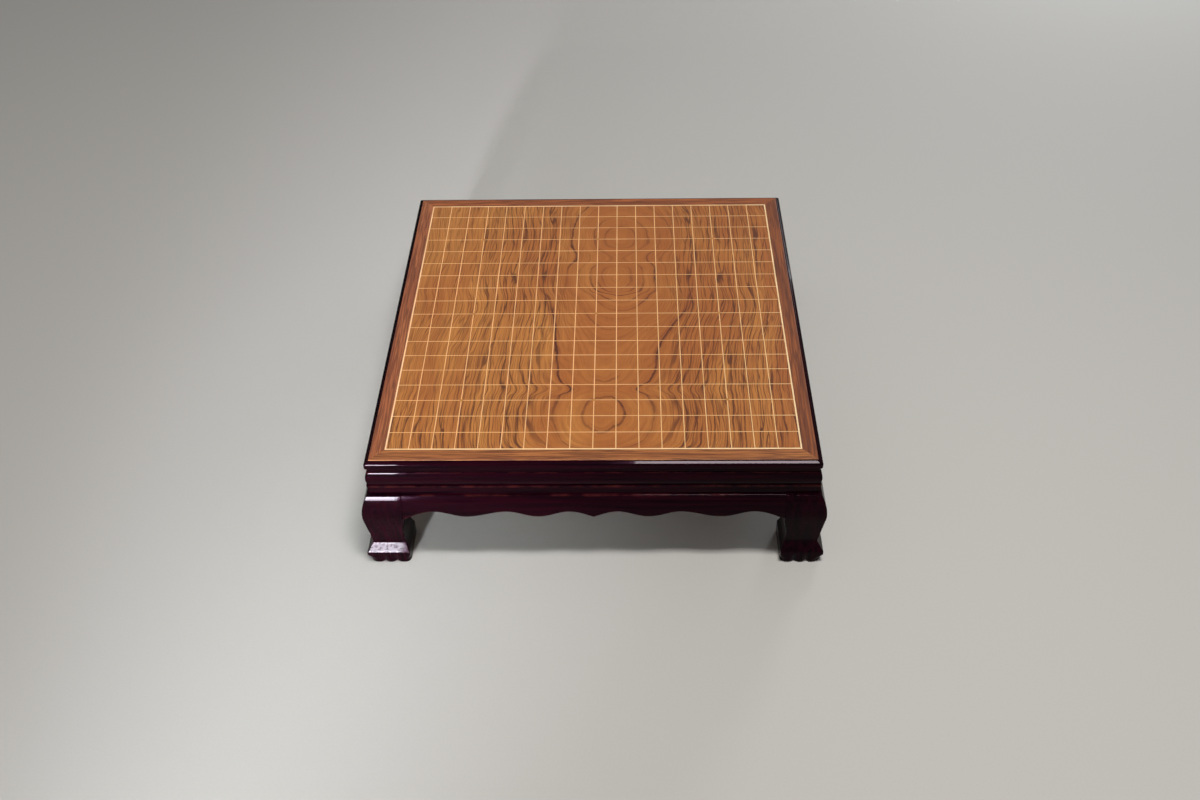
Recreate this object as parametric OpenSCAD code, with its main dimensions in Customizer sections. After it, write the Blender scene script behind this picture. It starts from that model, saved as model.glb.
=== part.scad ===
// Low weiqi board on four cabriole legs, in millimetres.
// An inlaid, veneered playing panel lies in a mitred moulded frame. Under the frame come a
// recessed waist, four bulged and scalloped aprons, and four legs with toed feet.
// The origin is on the floor under the middle of the board; the front faces -Y.

/* [Playing grid] */
// Number of lines each way
line_count = 19; // [9:2:21]
// Spacing of the lines from left to right
cell_w = 25; // [20:0.5:30]
// Spacing of the lines from front to back
cell_l = 26; // [20:0.5:32]
// Width of an inner line
line_w = 1; // [0.8:0.1:2]
// Width of the outer line round the grid
frame_line_w = 1.7; // [1.5:0.1:4]
// Depth of the inner lines in the veneer
inlay_t = 1; // [0.5:0.1:1.4]
// Diameter of a star point
star_d = 4; // [2.5:0.1:8]
// Depth of a star point
star_t = 1.4; // [0.8:0.1:1.8]
// Line, counted from the edge, that carries the outer star points
star_line = 4; // [3:1:4]

/* [Panel] */
// Border from the outer line's middle to the panel's edge
border_w = 16.5; // [12:0.5:30]
// Thickness of the sawn face veneers
face_t = 2; // [1.9:0.1:4]
// Thickness of the core board
core_t = 9; // [6:0.5:11]
// Thickness of the balancing veneer under the core
backing_t = 0.6; // [0.4:0.1:1.5]
// Height of the panel's face above the moulding's ledge
panel_proud = 0.8; // [0.5:0.1:3]
// Rounding of the border's outer arris
arris_r = 0.8; // [0.3:0.1:1.4]

/* [Edge moulding] */
// Height of the lip
lip_h = 9.2; // [7:0.1:12]
// Reach of the lip beyond the panel's edge
lip_reach = 5.2; // [4.8:0.1:8]
// Rounding of the lip's upper corner
lip_r = 4.2; // [2:0.1:4.5]
// Rounding of the lip's lower corner
lip_under_r = 1.5; // [0.5:0.1:2]
// Height of the neck under the lip
neck_h = 5.5; // [3:0.1:8]
// Reach of the neck beyond the panel's edge
neck_reach = 3; // [2:0.1:4]
// Height of the torus
torus_h = 18.5; // [14:0.1:22]
// Reach of the torus at its fullest
torus_reach = 6.2; // [5:0.1:9]
// Radius of the torus
torus_r = 22; // [18:0.5:40]
// Height of the torus's fullest point above its foot
torus_full = 8.3; // [6:0.1:10]
// Height of the fillet under the torus
fillet_h = 3; // [2:0.1:5]
// Reach of the fillet beyond the panel's edge
fillet_reach = 6.2; // [5:0.1:9]
// Width of the seat under the panel
seat_w = 32; // [31:0.5:45]

/* [Waist and aprons] */
// Height of the waist
waist_h = 11; // [6:0.5:20]
// Thickness of a waist rail
waist_t = 12; // [10:0.5:16]
// Reach of the waist beyond the panel's edge
waist_reach = 4.7; // [3:0.1:6]
// Thickness of the waist's tongue
tongue_t = 5; // [3:0.5:7]
// Height of the waist's tongue
tongue_h = 4; // [2:0.5:6]
// Height of an apron from its top to a crest of its lower edge
apron_h = 20; // [18:0.5:26]
// Depth of a rounded lobe below the crests
lobe_depth = 7.5; // [4:0.5:9]
// Depth of the middle point below the crests
point_depth = 8.2; // [4:0.5:10]
// Depth of the spur at a leg below the crests
spur_depth = 12; // [6:0.5:16]
// Set-back of an apron's face behind the legs
apron_set = 1; // [0.5:0.1:2]
// Length of an apron's tenon
tenon_l = 12; // [8:0.5:16]
// Thickness of an apron's tenon
tenon_t = 8; // [5:0.5:10]
// Height of an apron's tenon
tenon_h = 16; // [10:0.5:18]
// Drop of an apron's tenon below the apron's top
tenon_drop = 4; // [2:0.5:8]
// Set-back of an apron's tenon from the apron's inner face
tenon_set = 4; // [2:0.5:6]

/* [Legs] */
// Height of a leg to its shoulder
leg_h = 102; // [84:1:130]
// Distance from the panel's edge in to a leg's inner face
leg_in = 30.5; // [27:0.5:31]
// Reach of the belly beyond the panel's edge
belly_reach = 15; // [12:0.5:20]
// Drop of the belly's fullest point below the shoulder
belly_drop = 27; // [22:0.5:30]
// Radius of the belly
belly_r = 55; // [50:1:75]
// Reach of the ankle beyond the panel's edge
ankle_reach = 10; // [7:0.5:12]
// Height of the ankle
ankle_z = 32; // [26:0.5:38]
// Radius of the hollow at the ankle
ankle_r = 8; // [6:0.5:12]
// Tilt of the flat instep, as the angle of its normal above the level
instep_tilt = 33; // [26:1:40]
// Depth of the hollow of a leg's inner faces, between the foot and the apron's spur
inner_hollow = 4.4; // [1:0.2:6]
// Flat left above the hollow of a leg's inner faces
inner_flat = 4; // [2:0.5:8]
// Reach of the foot inward past a leg's inner faces
foot_flare = 0.5; // [0.5:0.5:4]
// Reach of the toes beyond the panel's edge
toe_reach = 17; // [14:0.5:20]
// Rounding under the toes
sole_r = 2.5; // [1:0.1:5]
// Width of the corner toe
corner_toe_w = 17; // [14:0.5:20]
// Rounding of the corner toe in plan, at the floor
corner_toe_r = 8; // [4:0.5:10]
// Height over which the corner toe's rounding runs out
corner_toe_h = 12; // [9:0.5:17]
// Width of the middle toe
toe_w = 12.5; // [10:0.5:16]
// Radius of the cleft between two toes, at the floor
cleft_r = 2.6; // [1:0.1:3.5]
// Height of the cleft between two toes
cleft_h = 15; // [8:0.5:18]
// Width of the square tenon on a leg's top
stub_w = 14; // [10:0.5:18]
// Height of the square tenon on a leg's top
stub_h = 16; // [8:0.5:17]

/* [Underframe] */
// Width of a cross batten
batten_w = 36; // [24:1:50]
// Thickness of a cross batten
batten_t = 18; // [12:0.5:22]
// Distance of a cross batten from the middle
batten_at = 80; // [50:1:120]
// Length of a batten's tenon
batten_tenon_l = 10; // [6:0.5:14]
// Thickness of a batten's tenon
batten_tenon_t = 8; // [5:0.5:10]
// Side of a glue block
block_w = 18; // [14:0.5:22]
// Length of a glue block
block_l = 50; // [30:1:70]
// Distance of a glue block from the middle of its side
block_at = 115; // [70:1:140]
// Diameter of a block screw's shank
screw_d = 3.5; // [3:0.1:4.5]
// Length of a block screw's shank above its head
screw_l = 26; // [22:0.5:32]
// Diameter of a block screw's head
head_d = 7; // [6:0.1:9]
// Height of a block screw's head
head_h = 2.4; // [1.6:0.1:3]
// Thickness of a mitre spline
spline_t = 3; // [2:0.1:4]
// Length of a mitre spline along the mitre
spline_w = 18; // [10:0.5:20]
// Length of a mitre spline across the mitre
spline_l = 24; // [14:0.5:26]
// Wood left between a mitre spline and the panel's seat
spline_cover = 4; // [3:0.1:6]

/* [Fits] */
// Clearance at the sides of a tenon, tongue or panel
fit_gap = 0.1; // [0.05:0.05:0.3]
// Clearance at the end of a tenon or tongue
end_gap = 0.5; // [0.2:0.1:1]

/* [Hidden] */
$fn = 96;
SIDES = ["back", "left", "front", "right"];
CORNERS = ["front_left", "front_right", "back_left", "back_right"];

// Plan sizes
grid_w = (line_count - 1) * cell_w;
grid_l = (line_count - 1) * cell_l;
half_w = grid_w / 2 + border_w;
half_l = grid_l / 2 + border_w;
last_line = line_count - 1;
star_lines = [star_line - 1, last_line / 2, last_line - star_line + 1];

// Levels above the floor
waist_top = leg_h + waist_h;
torus_z = waist_top + fillet_h;
neck_z = torus_z + torus_h;
lip_z = neck_z + neck_h;
ledge_z = lip_z + lip_h;
top_z = ledge_z + panel_proud;
face_z = top_z - face_t;
core_z = face_z - core_t;
seat_z = core_z - backing_t;
crest_z = leg_h - apron_h;
spur_z = crest_z - spur_depth;
spline_z = seat_z - spline_cover - spline_t;

// Places outward from the panel's edge
waist_back = waist_reach - waist_t;
tongue_at = waist_back + (waist_t - tongue_t) / 2;
apron_tenon_at = waist_back + tenon_set;
stub_at = (waist_back - leg_in) / 2;
spline_at = -seat_w / 2;
widest = max(lip_reach, torus_reach, fillet_reach, belly_reach, toe_reach) + 1;

// The leg's outer line: a belly arc, a tangent to the ankle, a small hollow, a flat instep
belly_mid = [belly_reach - belly_r, leg_h - belly_drop];
ankle = [ankle_reach, ankle_z];
to_ankle = ankle - belly_mid;
taper_turn = atan2(to_ankle[1], to_ankle[0]) + acos(belly_r / norm(to_ankle));
taper_out = [cos(taper_turn), sin(taper_turn)];
taper_top = belly_mid + belly_r * taper_out;
ankle_mid = ankle + (ankle_r - fit_gap) * taper_out;
instep = ankle_mid + (fit_gap - ankle_r) * [cos(instep_tilt), sin(instep_tilt)];
toe_top = instep[1] - (toe_reach - instep[0]) / tan(instep_tilt);

// The leg's inner line: upright at the foot, then a hollow arc up to just under the apron's spur
foot_in = [-leg_in - foot_flare, toe_top];
spur_in = [-leg_in, spur_z - inner_flat];
hollow_run = spur_in - foot_in;
hollow_out = [hollow_run[1], -hollow_run[0]] / norm(hollow_run);
inner_r = (pow(norm(hollow_run) / 2, 2) + pow(inner_hollow, 2)) / (2 * inner_hollow);
inner_mid = (foot_in + spur_in) / 2 - (inner_r - inner_hollow) * hollow_out;

// Share of the corner toe's radius that its rounding gains on its way up, enough to clear the corner
corner_spread = 0.45;

// The scalloped edge as on its template: distances from the middle to the end, which are drawn out to
// each apron's own length, and the drop below the crests there
scallop_at = [0, 27, 61, 96, 141, 177, 211];
scallop_drop = [point_depth, 0, lobe_depth, 0, lobe_depth, 0, spur_depth];
scallop_last = len(scallop_at) - 1;
scallop_steps = 8;

field_color = [0.68, 0.43, 0.24];
border_color = [0.55, 0.35, 0.22];
inlay_color = [0.92, 0.80, 0.62];
star_color = [0.72, 0.50, 0.22];
lacquer_color = [0.20, 0.06, 0.09];
core_color = [0.80, 0.68, 0.50];
block_color = [0.62, 0.48, 0.34];
screw_color = [0.70, 0.68, 0.60];

function line_x(i) = i * cell_w - grid_w / 2;
function line_y(i) = i * cell_l - grid_l / 2;
function run_of(side) = side % 2 == 0 ? half_w : half_l;
function across_of(side) = side % 2 == 0 ? half_l : half_w;

// Share of the way from one point of the scallop to the next: the middle point and the spur
// are pointed, and everything between is a smooth wave
function scallop_ease(span, t) =
    span == 0 ? sin(90 * t) :
    span == scallop_last - 1 ? 1 - cos(90 * t) :
    (1 - cos(180 * t)) / 2;
function scallop_point(half_run, span, t) = [
    half_run / scallop_at[scallop_last]
        * (scallop_at[span] + t * (scallop_at[span + 1] - scallop_at[span])),
    crest_z - scallop_drop[span]
        - scallop_ease(span, t) * (scallop_drop[span + 1] - scallop_drop[span])];
function scallop_half(half_run) = [
    for (span = [0 : scallop_last - 1], i = [1 : scallop_steps])
        scallop_point(half_run, span, i / scallop_steps)];

// Turns a piece that is drawn on the back side to another side
module on_side(side) {
    rotate([0, 0, 90 * side]) children();
}

// Puts a piece that is drawn at the back right corner of the panel at another corner
module at_corner(x_sign, y_sign) {
    translate([x_sign * half_w, y_sign * half_l, 0])
        mirror([x_sign < 0 ? 1 : 0, 0, 0])
            mirror([0, y_sign < 0 ? 1 : 0, 0])
                children();
}

// Runs a section along the back side; its x is outward from the panel's edge and its y is up
module run_section(half_run, across) {
    translate([-half_run, across, 0])
        rotate([90, 0, 90])
            linear_extrude(2 * half_run)
                children();
}

// Runs a section along one side and mitres both ends on the corners' diagonals
module mitred_run(side) {
    half_run = run_of(side);
    across = across_of(side);
    inner = seat_w + border_w;
    intersection() {
        run_section(half_run + widest, across) children();
        linear_extrude(top_z + widest)
            polygon([
                [inner - half_run, across - inner],
                [half_run - inner, across - inner],
                [half_run + widest, across + widest],
                [-half_run - widest, across + widest]]);
    }
}

module star_plugs(depth) {
    for (i = star_lines, j = star_lines)
        translate([line_x(i), line_y(j), top_z - depth])
            cylinder(d = star_d, h = depth);
}

module lengthwise_strips() {
    length = grid_l - frame_line_w;
    for (i = [1 : last_line - 1])
        translate([line_x(i) - line_w / 2, -length / 2, top_z - inlay_t])
            cube([line_w, length, inlay_t]);
}

// Sheet of the panel, centred, from the level z up
module sheet(width, length, thickness, z) {
    translate([-width / 2, -length / 2, z]) cube([width, length, thickness]);
}

module panel_core() {
    color(core_color) sheet(2 * half_w, 2 * half_l, core_t, core_z);
}

module backing_veneer() {
    color(block_color) sheet(2 * half_w, 2 * half_l, backing_t, seat_z);
}

module field_veneer() {
    width = grid_w - frame_line_w;
    length = grid_l - frame_line_w;
    color(field_color)
        difference() {
            sheet(width, length, face_t, face_z);
            for (i = [1 : last_line - 1]) {
                translate([line_x(i) - line_w / 2, -length, top_z - inlay_t])
                    cube([line_w, 2 * length, face_t]);
                translate([-width, line_y(i) - line_w / 2, top_z - inlay_t])
                    cube([2 * width, line_w, face_t]);
            }
            translate([0, 0, face_t]) star_plugs(star_t + face_t);
        }
}

module inlay_lengthwise() {
    color(inlay_color)
        difference() {
            lengthwise_strips();
            translate([0, 0, face_t]) star_plugs(star_t + face_t);
        }
}

module inlay_crosswise() {
    color(inlay_color)
        difference() {
            for (j = [1 : last_line - 1], i = [0 : last_line - 1]) {
                left = line_x(i) + (i == 0 ? frame_line_w : line_w) / 2;
                right = line_x(i + 1) - (i == last_line - 1 ? frame_line_w : line_w) / 2;
                translate([left, line_y(j) - line_w / 2, top_z - inlay_t])
                    cube([right - left, line_w, inlay_t]);
            }
            translate([0, 0, face_t]) star_plugs(star_t + face_t);
        }
}

module star_points() {
    color(star_color) star_plugs(star_t);
}

module frame_line(side) {
    color(inlay_color)
        on_side(side)
            mitred_run(side)
                translate([-border_w - frame_line_w / 2, face_z])
                    square([frame_line_w, face_t]);
}

module border(side) {
    width = border_w - frame_line_w / 2;
    color(border_color)
        on_side(side)
            mitred_run(side) {
                translate([-width, face_z]) square([width - arris_r, face_t]);
                translate([-width, face_z]) square([width, face_t - arris_r]);
                translate([-arris_r, top_z - arris_r]) circle(arris_r);
            }
}

module lip_section() {
    translate([0, lip_z]) {
        square([lip_reach - lip_r, lip_h]);
        translate([0, lip_under_r]) square([lip_reach, lip_h - lip_r - lip_under_r]);
        square([lip_reach - lip_under_r, lip_h / 2]);
        translate([lip_reach - lip_r, lip_h - lip_r]) circle(lip_r);
        translate([lip_reach - lip_under_r, lip_under_r]) circle(lip_under_r);
    }
}

module torus_section() {
    intersection() {
        translate([torus_reach - torus_r, torus_z + torus_full]) circle(torus_r);
        translate([-seat_w, torus_z]) square([seat_w + torus_reach + 1, torus_h]);
    }
}

module moulding_section() {
    difference() {
        union() {
            translate([-seat_w, waist_top]) square([seat_w + neck_reach, ledge_z - waist_top]);
            translate([-seat_w, waist_top]) square([seat_w + fillet_reach, fillet_h]);
            torus_section();
            lip_section();
        }
        translate([-2 * seat_w, seat_z]) square([2 * seat_w + fit_gap, top_z]);
        translate([tongue_at - fit_gap, waist_top - 1])
            square([tongue_t + 2 * fit_gap, tongue_h + end_gap + 1]);
    }
}

// Square tenon on a leg's top, drawn at the back right corner, and its mortise with a gap
module leg_stub(gap, end) {
    translate([stub_at - stub_w / 2 - gap, stub_at - stub_w / 2 - gap, waist_top - 1])
        cube([stub_w + 2 * gap, stub_w + 2 * gap, stub_h + end + 1]);
}

module mitre_spline(gap) {
    translate([spline_at, spline_at, spline_z + spline_t / 2])
        rotate([0, 0, 45])
            cube([spline_w + 2 * gap, spline_l + 2 * gap, spline_t + 2 * gap], center = true);
}

module batten_tenons(gap, end) {
    shoulder = half_w - seat_w;
    for (x_sign = [-1, 1])
        translate([x_sign * shoulder, 0, seat_z - batten_t / 2])
            cube([2 * (batten_tenon_l + end), batten_w + 2 * gap, batten_tenon_t + 2 * gap],
                 center = true);
}

// Screw through a glue block, with its head let into the block's underside
module screw(gap) {
    translate([0, 0, waist_top - block_w]) {
        cylinder(d = head_d + 2 * gap, h = head_h + gap);
        cylinder(d = screw_d + 2 * gap, h = head_h + screw_l + gap);
    }
}

module side_screws(side, gap) {
    for (x_sign = [-1, 1])
        translate([x_sign * block_at, across_of(side) + waist_back - block_w / 2, 0])
            screw(gap);
}

module edge_moulding(side) {
    color(lacquer_color)
        difference() {
            on_side(side) mitred_run(side) moulding_section();
            for (x_sign = [-1, 1], y_sign = [-1, 1])
                at_corner(x_sign, y_sign) {
                    leg_stub(fit_gap, end_gap);
                    mitre_spline(fit_gap);
                }
            for (y_sign = [-1, 1])
                translate([0, y_sign * batten_at, 0]) batten_tenons(fit_gap, end_gap);
            on_side(side) side_screws(side, fit_gap);
        }
}

module waist(side) {
    color(lacquer_color)
        on_side(side)
            mitred_run(side) {
                translate([waist_back, leg_h]) square([waist_t, waist_h]);
                translate([tongue_at, leg_h]) square([tongue_t, waist_h + tongue_h]);
            }
}

module belly_section(set_back) {
    intersection() {
        translate(belly_mid) circle(belly_r - set_back);
        translate([-leg_in, 0]) square([leg_in + widest, leg_h]);
    }
}

module apron_tenon(gap, end) {
    translate([0, apron_tenon_at - gap, leg_h - tenon_drop - tenon_h - gap])
        cube([tenon_l + end, tenon_t + 2 * gap, tenon_h + 2 * gap]);
}

module apron(side) {
    half_run = run_of(side) - leg_in - fit_gap;
    across = across_of(side);
    edge = scallop_half(half_run);
    left_edge = [for (i = [len(edge) - 1 : -1 : 0]) [-edge[i][0], edge[i][1]]];
    middle_point = [0, crest_z - point_depth];
    color(lacquer_color)
        on_side(side) {
            intersection() {
                run_section(half_run, across)
                    intersection() {
                        belly_section(apron_set);
                        translate([waist_back, 0]) square([widest - waist_back, leg_h]);
                    }
                translate([0, across + widest, 0])
                    rotate([90, 0, 0])
                        linear_extrude(2 * widest + leg_in)
                            polygon(concat(
                                [[half_run, leg_h], [-half_run, leg_h]],
                                left_edge, [middle_point], edge));
            }
            for (x_sign = [0, 1])
                mirror([x_sign, 0, 0])
                    translate([half_run, across, 0]) {
                        apron_tenon(0, 0);
                        translate([-tenon_l, 0, 0]) apron_tenon(0, 0);
                    }
        }
}

// Side view of a leg: x is outward from the panel's edge and y is up
module leg_profile() {
    difference() {
        union() {
            intersection() {
                belly_section(0);
                translate([-leg_in, taper_top[1]]) square([leg_in + widest, leg_h]);
            }
            polygon([[-leg_in, ankle_z], ankle, taper_top, [-leg_in, taper_top[1]]]);
            translate([foot_in[0], 0]) square([toe_reach - sole_r - foot_in[0], ankle_z]);
            translate([foot_in[0], sole_r]) square([toe_reach - foot_in[0], ankle_z - sole_r]);
            translate([toe_reach - sole_r, sole_r]) circle(sole_r);
        }
        translate(ankle_mid) circle(ankle_r);
        translate(instep) rotate(instep_tilt) translate([0, -widest]) square([2 * ankle_r, widest]);
        translate(inner_mid) circle(inner_r);
    }
}

module toe_cleft(x, y) {
    translate([x, y, -1]) cylinder(r1 = cleft_r, r2 = cleft_r / 4, h = cleft_h + 1);
}

module toe_clefts() {
    for (inward = [corner_toe_w, corner_toe_w + toe_w]) {
        toe_cleft(toe_reach - inward, toe_reach);
        toe_cleft(toe_reach, toe_reach - inward);
    }
}

// What the rounding of the corner toe takes away: the corner outside a cone that widens upwards
module toe_corner() {
    mid = toe_reach - corner_toe_r;
    below = corner_toe_h / 8;
    widening = corner_toe_r * corner_spread / corner_toe_h;
    difference() {
        translate([mid, mid, -below]) cube([2 * corner_toe_r, 2 * corner_toe_r, corner_toe_h + below]);
        translate([mid, mid, -2 * below])
            cylinder(
                r1 = corner_toe_r - 2 * below * widening,
                r2 = corner_toe_r + (corner_toe_h + below) * widening,
                h = corner_toe_h + 3 * below);
    }
}

module leg(x_sign, y_sign) {
    post_w = leg_in + waist_back;
    span = widest - foot_in[0];
    color(lacquer_color)
        at_corner(x_sign, y_sign)
            difference() {
                union() {
                    intersection() {
                        translate([foot_in[0], 0, 0])
                            rotate([90, 0, 90]) linear_extrude(span) leg_profile();
                        translate([0, widest, 0])
                            rotate([90, 0, 0]) linear_extrude(span) leg_profile();
                    }
                    translate([-leg_in, -leg_in, crest_z]) cube([post_w, post_w, waist_top - crest_z]);
                    leg_stub(0, 0);
                }
                translate([-leg_in, 0, 0]) apron_tenon(fit_gap, end_gap);
                rotate([0, 0, 90])
                    mirror([0, 1, 0])
                        translate([-leg_in, 0, 0]) apron_tenon(fit_gap, end_gap);
                toe_clefts();
                toe_corner();
            }
}

module batten(y_sign) {
    length = 2 * (half_w - seat_w - fit_gap);
    color(block_color)
        translate([0, y_sign * batten_at, 0]) {
            translate([-length / 2, -batten_w / 2, seat_z - batten_t])
                cube([length, batten_w, batten_t]);
            batten_tenons(0, 0);
        }
}

module mitre_splines() {
    color(core_color)
        for (x_sign = [-1, 1], y_sign = [-1, 1])
            at_corner(x_sign, y_sign) mitre_spline(0);
}

module glue_block(side) {
    across = across_of(side);
    translate([-block_l / 2, across + waist_back, waist_top])
        rotate([90, 0, 90])
            linear_extrude(block_l)
                polygon([
                    [0, 0], [-block_w, 0], [-block_w, -block_w / 3],
                    [-block_w * 2 / 3, -block_w], [0, -block_w]]);
}

module glue_blocks() {
    color(block_color)
        for (side = [0 : 3])
            on_side(side)
                difference() {
                    for (x_sign = [-1, 1])
                        translate([x_sign * block_at, 0, 0]) glue_block(side);
                    side_screws(side, fit_gap);
                }
}

module block_screws() {
    color(screw_color)
        for (side = [0 : 3])
            on_side(side) side_screws(side, 0);
}

panel_core();
backing_veneer();
field_veneer();
inlay_lengthwise();
inlay_crosswise();
star_points();
batten(-1);  // batten_front
batten(1);  // batten_back
mitre_splines();
glue_blocks();
block_screws();
for (side = [0 : 3]) {
    frame_line(side);
    border(side);
    edge_moulding(side);
    waist(side);
    apron(side);
}
leg(-1, -1);  // leg_front_left
leg(1, -1);  // leg_front_right
leg(-1, 1);  // leg_back_left
leg(1, 1);  // leg_back_right
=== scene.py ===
"""Looks of a low weiqi board: figured veneer face, inlaid lines, gloss lacquered frame and legs.

Pieces are drawn in millimetres about the panel's edge and scaled to metres at the end.
"""

import math

import bmesh
import bpy
from mathutils import Matrix, Vector


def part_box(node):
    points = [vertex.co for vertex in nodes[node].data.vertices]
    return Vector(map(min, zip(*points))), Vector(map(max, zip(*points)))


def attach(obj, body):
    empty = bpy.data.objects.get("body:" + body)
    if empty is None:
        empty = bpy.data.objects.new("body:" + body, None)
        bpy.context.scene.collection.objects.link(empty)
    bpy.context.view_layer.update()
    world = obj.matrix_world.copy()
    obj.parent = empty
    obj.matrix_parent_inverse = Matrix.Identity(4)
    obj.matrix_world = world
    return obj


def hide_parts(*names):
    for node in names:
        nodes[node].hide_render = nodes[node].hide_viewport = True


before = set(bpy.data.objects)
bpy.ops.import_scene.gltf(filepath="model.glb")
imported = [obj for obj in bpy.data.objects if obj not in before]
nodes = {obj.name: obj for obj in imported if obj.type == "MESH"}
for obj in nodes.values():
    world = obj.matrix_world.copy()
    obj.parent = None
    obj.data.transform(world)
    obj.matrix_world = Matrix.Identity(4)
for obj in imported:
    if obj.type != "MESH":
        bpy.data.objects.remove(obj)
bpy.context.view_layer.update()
MM = 0.001

# Sizes that the frame gives, in millimetres
panel_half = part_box("panel_core")[1] / MM
rail_low, rail_high = (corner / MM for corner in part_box("edge_moulding_front"))
apron_low, apron_high = (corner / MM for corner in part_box("apron_front"))
leg_low, leg_high = (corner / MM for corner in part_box("leg_front_right"))
waist_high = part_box("waist_front")[1] / MM
seat_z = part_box("backing_veneer")[0].z / MM
RAIL_Z = rail_low.z
LEDGE_Z = rail_high.z
LEG_H = apron_high.z
SPUR_Z = apron_low.z
TOE_REACH = leg_high.x - panel_half.x
FOOT_IN = panel_half.x - leg_low.x
WAIST_BACK = -waist_high.y - panel_half.y

# Edge moulding: sizes outward from the panel's edge and heights
SEAT_W = 32.0
PANEL_GAP = 0.1
FILLET_REACH, FILLET_H = 6.2, 3.0
TORUS_REACH, TORUS_R, TORUS_FULL = 6.2, 22.0, 8.3
NECK_REACH, NECK_H = 3.0, 5.5
LIP_REACH, LIP_H, LIP_R, LIP_UNDER_R = 5.2, 9.2, 4.2, 1.5
LIP_FLAT = (40, 86)  # where the flat on the lip's rounding starts and ends, in degrees

# Apron and leg
CREST_DROP, LOBE_DEPTH, POINT_DEPTH = 20.0, 7.5, 8.2
APRON_SET, APRON_GAP = 1.0, 0.1
SCALLOP_AT = (0, 27, 61, 96, 141, 177, 211)
SCALLOP_SHARES = [place / SCALLOP_AT[-1] for place in SCALLOP_AT]
BELLY_REACH, BELLY_DROP, BELLY_R = 15.0, 27.0, 55.0
ANKLE_REACH, ANKLE_Z, ANKLE_R = 10.0, 32.0, 8.0
INSTEP_TILT = math.radians(33)
INNER_HOLLOW, INNER_FLAT = 4.4, 4.0
FOOT_FLARE = 0.5
LEG_IN = FOOT_IN - FOOT_FLARE
SOLE_R = 2.5
CORNER_TOE_R, INNER_TOE_R, TOE_H = 14.0, 9.0, 13.0
TOE_CLEFTS = (18.5, 32.0)
CLEFT_DEPTH, CLEFT_H, CLEFT_W = 3.2, 14.0, 5.2
ARRIS, MOULDING_ARRIS = 0.7, 0.35
MITRE_R = 2.0

# How finely the pieces are drawn, and from which angle an edge stays sharp
APRON_STEPS = {"x_segments": 200, "y_segments": 12}
LEG_CUTS = 47
LEVEL_WITHIN, LEVEL_LENGTH = 0.3, 12.0
SHARP_FROM = 38

SIDES = ("back", "left", "front", "right")


class Shader:
    """A material's nodes, with short ways to add and join them."""

    def __init__(self, name):
        self.material = bpy.data.materials.new(name)
        self.material.use_nodes = True
        self.tree = self.material.node_tree
        self.surface = self.tree.nodes["Principled BSDF"]
        place = self.add("ShaderNodeTexCoord").outputs["Object"]
        self.place = self.scaled(place, (1 / MM, 1 / MM, 1 / MM))

    def add(self, kind, inputs=None, **settings):
        node = self.tree.nodes.new(kind)
        for key, value in settings.items():
            setattr(node, key, value)
        for key, value in (inputs or {}).items():
            self.put(node.inputs[key], value)
        return node

    def put(self, socket, value):
        if isinstance(value, bpy.types.NodeSocket):
            self.tree.links.new(value, socket)
        else:
            socket.default_value = value

    def set(self, **inputs):
        for key, value in inputs.items():
            self.put(self.surface.inputs[key.replace("_", " ")], value)

    def scaled(self, vector, scale):
        return self.add("ShaderNodeMapping", {"Vector": vector, "Scale": scale}).outputs[0]

    def calc(self, operation, *values, clamp=False):
        node = self.add("ShaderNodeMath", operation=operation, use_clamp=clamp)
        for socket, value in zip(node.inputs, values):
            self.put(socket, value)
        return node.outputs[0]

    def vector(self, x, y, z=0.0):
        return self.add("ShaderNodeCombineXYZ", {"X": x, "Y": y, "Z": z}).outputs[0]

    def noise(self, vector, scale=1.0, detail=2.0, roughness=0.5):
        return self.add("ShaderNodeTexNoise", {
            "Vector": vector, "Scale": scale, "Detail": detail, "Roughness": roughness,
        }).outputs["Fac"]

    def span(self, value, low, high, to_low=0.0, to_high=1.0):
        return self.add("ShaderNodeMapRange", {
            "Value": value, "From Min": low, "From Max": high, "To Min": to_low, "To Max": to_high,
        }).outputs[0]

    def mix(self, share, first, second):
        node = self.add("ShaderNodeMix", data_type="RGBA")
        self.put(node.inputs[0], share)
        self.put(node.inputs[6], first)
        self.put(node.inputs[7], second)
        return node.outputs[2]

    def curve(self, value, points):
        """A smooth curve from 0 to 1 through a few points."""
        node = self.add("ShaderNodeFloatCurve", {"Value": value})
        line = node.mapping.curves[0]
        for spot, point in zip(line.points, (points[0], points[-1])):
            spot.location = point
        for point in points[1:-1]:
            line.points.new(*point)
        node.mapping.update()
        return node.outputs[0]

    def satin(self, grain):
        """The finish that face, border and inlay share, a little uneven with the grain."""
        return {"Roughness": self.span(grain, 0.3, 0.7, 0.34, 0.46), "Specular_IOR_Level": 0.3}

    def bump(self, height, strength, distance):
        """A relief, its distance in millimetres."""
        return self.add("ShaderNodeBump", {
            "Height": height, "Strength": strength, "Distance": distance * MM,
        }).outputs[0]


def srgb(red, green, blue):
    """A colour as it shows on screen, 0 to 255, as the linear colour that a shader takes."""
    linear = [((c / 255 + 0.055) / 1.055) ** 2.4 if c > 10 else c / 255 / 12.92
              for c in (red, green, blue)]
    return (*linear, 1.0)


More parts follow.
